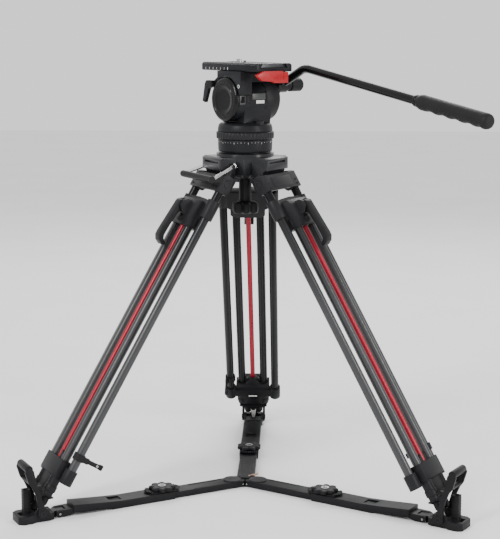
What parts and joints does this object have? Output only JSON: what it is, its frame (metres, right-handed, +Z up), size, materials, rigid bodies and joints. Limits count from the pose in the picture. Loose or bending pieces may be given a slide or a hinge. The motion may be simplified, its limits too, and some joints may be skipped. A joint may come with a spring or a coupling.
{
  "type": "tripod with fluid head",
  "caption": "Twin-tube camera tripod with a ground spreader, a ball-levelled fluid head, a sliding camera plate and a pan bar.",
  "frame": {"origin": "on the floor under the bowl axis, at the underside of the spreader hub", "axes": "+Z up, +Y towards the back leg, +X to the right seen from the front"},
  "size_m": [0.824, 0.8516, 0.8188],
  "materials": {
    "cast_black": "die-cast, black powder coat, satin",
    "leg_casting": "die-cast, black powder coat, satin",
    "moulded_black": "moulded, fine matte grain",
    "carbon_tube": "carbon fibre weave under satin lacquer",
    "red_rod": "anodised red",
    "red_lever": "moulded red",
    "steel": "turned",
    "bail_chrome": "bright wire with a black sleeve",
    "plate_black": "anodised black",
    "bar_black": "gloss black",
    "grip_rubber": "moulded rubber",
    "foot_black": "moulded",
    "copper_trim": "copper coloured"
  },
  "bodies": {
    "crown": {"crown": "cast_black", "leg_hinge_pins": "steel"},
    "carry_handle": {"carry_handle": "bail_chrome"},
    "bowl_base": {"bowl_base": "cast_black"},
    "tie_down_knob": {"tie_down_knob": "moulded_black"},
    "pan_drag_ring": {"pan_drag_ring": "moulded_black"},
    "pan_head": {"head_body": "cast_black"},
    "tilt_drag_ring": {"tilt_drag_ring": "moulded_black"},
    "tilt_head": {"tilt_cradle": "cast_black", "platform": "cast_black"},
    "tilt_brake_lever": {"tilt_brake_lever": "moulded_black"},
    "slide_plate": {"slide_plate": "plate_black"},
    "plate_lock_lever": {"plate_lock_lever": "red_lever"},
    "camera_screw": {"camera_screw": "steel"},
    "rosette_knob": {"rosette_knob": "moulded_black"},
    "pan_bar": {"pan_bar": "bar_black", "pan_grip": "grip_rubber"},
    "leg_upper_1": {"leg_shoulder_1": "leg_casting", "upper_tubes_1": "carbon_tube", "lower_bracket_1": "leg_casting"},
    "leg_mid_1": {"slide_bracket_1": "leg_casting", "mid_tubes_1": "carbon_tube", "release_rod_1": "red_rod", "mid_clamp_1": "leg_casting"},
    "lock_lever_1": {"lock_lever_1": "moulded_black"},
    "leg_lower_1": {"foot_1": "foot_black"},
    "spreader_base_1": {"spreader_base_1": "moulded_black", "arm_outer_1": "moulded_black"},
    "foot_clamp_1": {"foot_clamp_1": "moulded_black"},
    "arm_knob_1": {"arm_knob_1": "moulded_black"},
    "arm_inner_1": {"arm_inner_1": "moulded_black", "spreader_hub": "copper_trim"},
    "leg_upper_2": {"leg_shoulder_2": "leg_casting", "upper_tubes_2": "carbon_tube", "lower_bracket_2": "leg_casting"},
    "leg_mid_2": {"slide_bracket_2": "leg_casting", "mid_tubes_2": "carbon_tube", "release_rod_2": "red_rod", "mid_clamp_2": "leg_casting"},
    "lock_lever_2": {"lock_lever_2": "moulded_black"},
    "leg_lower_2": {"foot_2": "foot_black"},
    "spreader_base_2": {"spreader_base_2": "moulded_black", "arm_outer_2": "moulded_black"},
    "foot_clamp_2": {"foot_clamp_2": "moulded_black"},
    "arm_knob_2": {"arm_knob_2": "moulded_black"},
    "arm_inner_2": {"arm_inner_2": "moulded_black"},
    "leg_upper_3": {"leg_shoulder_3": "leg_casting", "upper_tubes_3": "carbon_tube", "lower_bracket_3": "leg_casting"},
    "leg_mid_3": {"slide_bracket_3": "leg_casting", "mid_tubes_3": "carbon_tube", "release_rod_3": "red_rod", "mid_clamp_3": "leg_casting"},
    "lock_lever_3": {"lock_lever_3": "moulded_black"},
    "leg_lower_3": {"foot_3": "foot_black"},
    "spreader_base_3": {"spreader_base_3": "moulded_black", "arm_outer_3": "moulded_black"},
    "foot_clamp_3": {"foot_clamp_3": "moulded_black"},
    "arm_knob_3": {"arm_knob_3": "moulded_black"},
    "arm_inner_3": {"arm_inner_3": "moulded_black"}
  },
  "joints": [
    {"name": "carry_handle_swing", "type": "hinge", "parent": "crown", "child": "carry_handle", "pos_m": [-0.03897, -0.0225, 0.625], "axis": [-0.5, 0.866, 0], "range_deg": [0, 90]},
    {"name": "bowl_level", "type": "hinge", "parent": "crown", "child": "bowl_base", "pos_m": [0, 0, 0.645], "axis": [0.7771, 0.6293, 0], "range_deg": [-3, 3]},
    {"name": "tie_down_turn", "type": "hinge", "parent": "bowl_base", "child": "tie_down_knob", "pos_m": [0, 0, 0.56], "axis": [0, 0, 1], "continuous": true},
    {"name": "pan_drag_turn", "type": "hinge", "parent": "bowl_base", "child": "pan_drag_ring", "pos_m": [0, 0, 0.678], "axis": [0, 0, 1], "range_deg": [-120, 120]},
    {"name": "pan", "type": "hinge", "parent": "bowl_base", "child": "pan_head", "pos_m": [0, 0, 0.69], "axis": [0, 0, 1], "continuous": true},
    {"name": "tilt_drag_turn", "type": "hinge", "parent": "pan_head", "child": "tilt_drag_ring", "pos_m": [-0.03886, -0.03147, 0.745], "axis": [0.7771, 0.6293, 0], "range_deg": [-120, 120]},
    {"name": "tilt", "type": "hinge", "parent": "pan_head", "child": "tilt_head", "pos_m": [0, 0, 0.745], "axis": [0.7771, 0.6293, 0], "range_deg": [-60, 50]},
    {"name": "tilt_brake_swing", "type": "hinge", "parent": "tilt_head", "child": "tilt_brake_lever", "pos_m": [-0.06277, -0.00193, 0.772], "axis": [0.7771, 0.6293, 0], "range_deg": [0, 45]},
    {"name": "plate_slide", "type": "slide", "parent": "tilt_head", "child": "slide_plate", "axis": [0.6293, -0.7771, 0], "range_m": [-0.04, 0.04]},
    {"name": "plate_lock_swing", "type": "hinge", "parent": "tilt_head", "child": "plate_lock_lever", "pos_m": [0.07245, -0.04942, 0.785], "axis": [0, 0, 1], "range_deg": [0, 60]},
    {"name": "camera_screw_turn", "type": "hinge", "parent": "slide_plate", "child": "camera_screw", "pos_m": [-0.01196, 0.01477, 0.812], "axis": [0, 0, 1], "continuous": true},
    {"name": "rosette_knob_turn", "type": "hinge", "parent": "tilt_head", "child": "rosette_knob", "pos_m": [0.07749, 0.04731, 0.769], "axis": [0.7771, 0.6293, 0], "continuous": true},
    {"name": "pan_bar_swing", "type": "hinge", "parent": "tilt_head", "child": "pan_bar", "pos_m": [0.06584, 0.03787, 0.769], "axis": [-0.7771, -0.6293, 0], "range_deg": [-40, 60]},
    {"name": "leg_fold_1", "type": "hinge", "parent": "crown", "child": "leg_upper_1", "pos_m": [0, 0.0647, 0.5922], "axis": [-1, 0, 0], "range_deg": [0, 3]},
    {"name": "upper_lock_1", "type": "slide", "parent": "leg_upper_1", "child": "leg_mid_1", "axis": [0, 0.521, -0.8536], "range_m": [0, 0.115]},
    {"name": "lock_lever_swing_1", "type": "hinge", "parent": "leg_mid_1", "child": "lock_lever_1", "pos_m": [0, 0.13323, 0.55671], "axis": [1, 0, 0], "range_deg": [0, 60]},
    {"name": "lower_lock_1", "type": "slide", "parent": "leg_mid_1", "child": "leg_lower_1", "axis": [0, 0.521, -0.8536], "range_m": [0, 0.115]},
    {"name": "ankle_1", "type": "hinge", "parent": "leg_lower_1", "child": "spreader_base_1", "pos_m": [0, 0.42, 0.016], "axis": [-1, 0, 0], "range_deg": [-3, 0]},
    {"name": "foot_clamp_swing_1", "type": "hinge", "parent": "spreader_base_1", "child": "foot_clamp_1", "pos_m": [0, 0.42, 0.016], "axis": [-1, 0, 0], "range_deg": [0, 40]},
    {"name": "arm_knob_slide_1", "type": "slide", "parent": "spreader_base_1", "child": "arm_knob_1", "axis": [0, 1, 0], "range_m": [0, 0.03588]},
    {"name": "arm_slide_1", "type": "slide", "parent": "arm_knob_1", "child": "arm_inner_1", "axis": [0, -1, 0], "range_m": [0, 0.11459]},
    {"name": "leg_fold_2", "type": "hinge", "parent": "crown", "child": "leg_upper_2", "pos_m": [-0.05603, -0.03235, 0.5922], "axis": [0.5, -0.866, 0], "range_deg": [0, 3]},
    {"name": "upper_lock_2", "type": "slide", "parent": "leg_upper_2", "child": "leg_mid_2", "axis": [-0.4512, -0.2605, -0.8536], "range_m": [0, 0.115]},
    {"name": "lock_lever_swing_2", "type": "hinge", "parent": "leg_mid_2", "child": "lock_lever_2", "pos_m": [-0.11538, -0.06661, 0.55671], "axis": [-0.5, 0.866, 0], "range_deg": [0, 60]},
    {"name": "lower_lock_2", "type": "slide", "parent": "leg_mid_2", "child": "leg_lower_2", "axis": [-0.4512, -0.2605, -0.8536], "range_m": [0, 0.115]},
    {"name": "ankle_2", "type": "hinge", "parent": "leg_lower_2", "child": "spreader_base_2", "pos_m": [-0.36373, -0.21, 0.016], "axis": [0.5, -0.866, 0], "range_deg": [-3, 0]},
    {"name": "foot_clamp_swing_2", "type": "hinge", "parent": "spreader_base_2", "child": "foot_clamp_2", "pos_m": [-0.36373, -0.21, 0.016], "axis": [0.5, -0.866, 0], "range_deg": [0, 40]},
    {"name": "arm_knob_slide_2", "type": "slide", "parent": "spreader_base_2", "child": "arm_knob_2", "axis": [-0.866, -0.5, 0], "range_m": [0, 0.03588]},
    {"name": "arm_slide_2", "type": "slide", "parent": "arm_knob_2", "child": "arm_inner_2", "axis": [0.866, 0.5, 0], "range_m": [0, 0.11459]},
    {"name": "leg_fold_3", "type": "hinge", "parent": "crown", "child": "leg_upper_3", "pos_m": [0.05603, -0.03235, 0.5922], "axis": [0.5, 0.866, 0], "range_deg": [0, 3]},
    {"name": "upper_lock_3", "type": "slide", "parent": "leg_upper_3", "child": "leg_mid_3", "axis": [0.4512, -0.2605, -0.8536], "range_m": [0, 0.115]},
    {"name": "lock_lever_swing_3", "type": "hinge", "parent": "leg_mid_3", "child": "lock_lever_3", "pos_m": [0.11538, -0.06661, 0.55671], "axis": [-0.5, -0.866, 0], "range_deg": [0, 60]},
    {"name": "lower_lock_3", "type": "slide", "parent": "leg_mid_3", "child": "leg_lower_3", "axis": [0.4512, -0.2605, -0.8536], "range_m": [0, 0.115]},
    {"name": "ankle_3", "type": "hinge", "parent": "leg_lower_3", "child": "spreader_base_3", "pos_m": [0.36373, -0.21, 0.016], "axis": [0.5, 0.866, 0], "range_deg": [-3, 0]},
    {"name": "foot_clamp_swing_3", "type": "hinge", "parent": "spreader_base_3", "child": "foot_clamp_3", "pos_m": [0.36373, -0.21, 0.016], "axis": [0.5, 0.866, 0], "range_deg": [0, 40]},
    {"name": "arm_knob_slide_3", "type": "slide", "parent": "spreader_base_3", "child": "arm_knob_3", "axis": [0.866, -0.5, 0], "range_m": [0, 0.03588]},
    {"name": "arm_slide_3", "type": "slide", "parent": "arm_knob_3", "child": "arm_inner_3", "axis": [-0.866, 0.5, 0], "range_m": [0, 0.11459]}
  ],
  "couplings": [
    {"joint": "lower_lock_1", "follows": "upper_lock_1", "ratio": 1},
    {"joint": "ankle_1", "follows": "leg_fold_1", "ratio": -1},
    {"joint": "arm_knob_slide_1", "follows": "leg_fold_1", "m_per_rad": 0.6853},
    {"joint": "arm_slide_1", "follows": "upper_lock_1", "ratio": 0.99646},
    {"joint": "leg_fold_2", "follows": "leg_fold_1", "ratio": 1},
    {"joint": "upper_lock_2", "follows": "upper_lock_1", "ratio": 1},
    {"joint": "lower_lock_2", "follows": "upper_lock_1", "ratio": 1},
    {"joint": "ankle_2", "follows": "leg_fold_1", "ratio": -1},
    {"joint": "arm_knob_slide_2", "follows": "leg_fold_1", "m_per_rad": 0.6853},
    {"joint": "arm_slide_2", "follows": "upper_lock_1", "ratio": 0.99646},
    {"joint": "leg_fold_3", "follows": "leg_fold_1", "ratio": 1},
    {"joint": "upper_lock_3", "follows": "upper_lock_1", "ratio": 1},
    {"joint": "lower_lock_3", "follows": "upper_lock_1", "ratio": 1},
    {"joint": "ankle_3", "follows": "leg_fold_1", "ratio": -1},
    {"joint": "arm_knob_slide_3", "follows": "leg_fold_1", "m_per_rad": 0.6853},
    {"joint": "arm_slide_3", "follows": "upper_lock_1", "ratio": 0.99646}
  ]
}
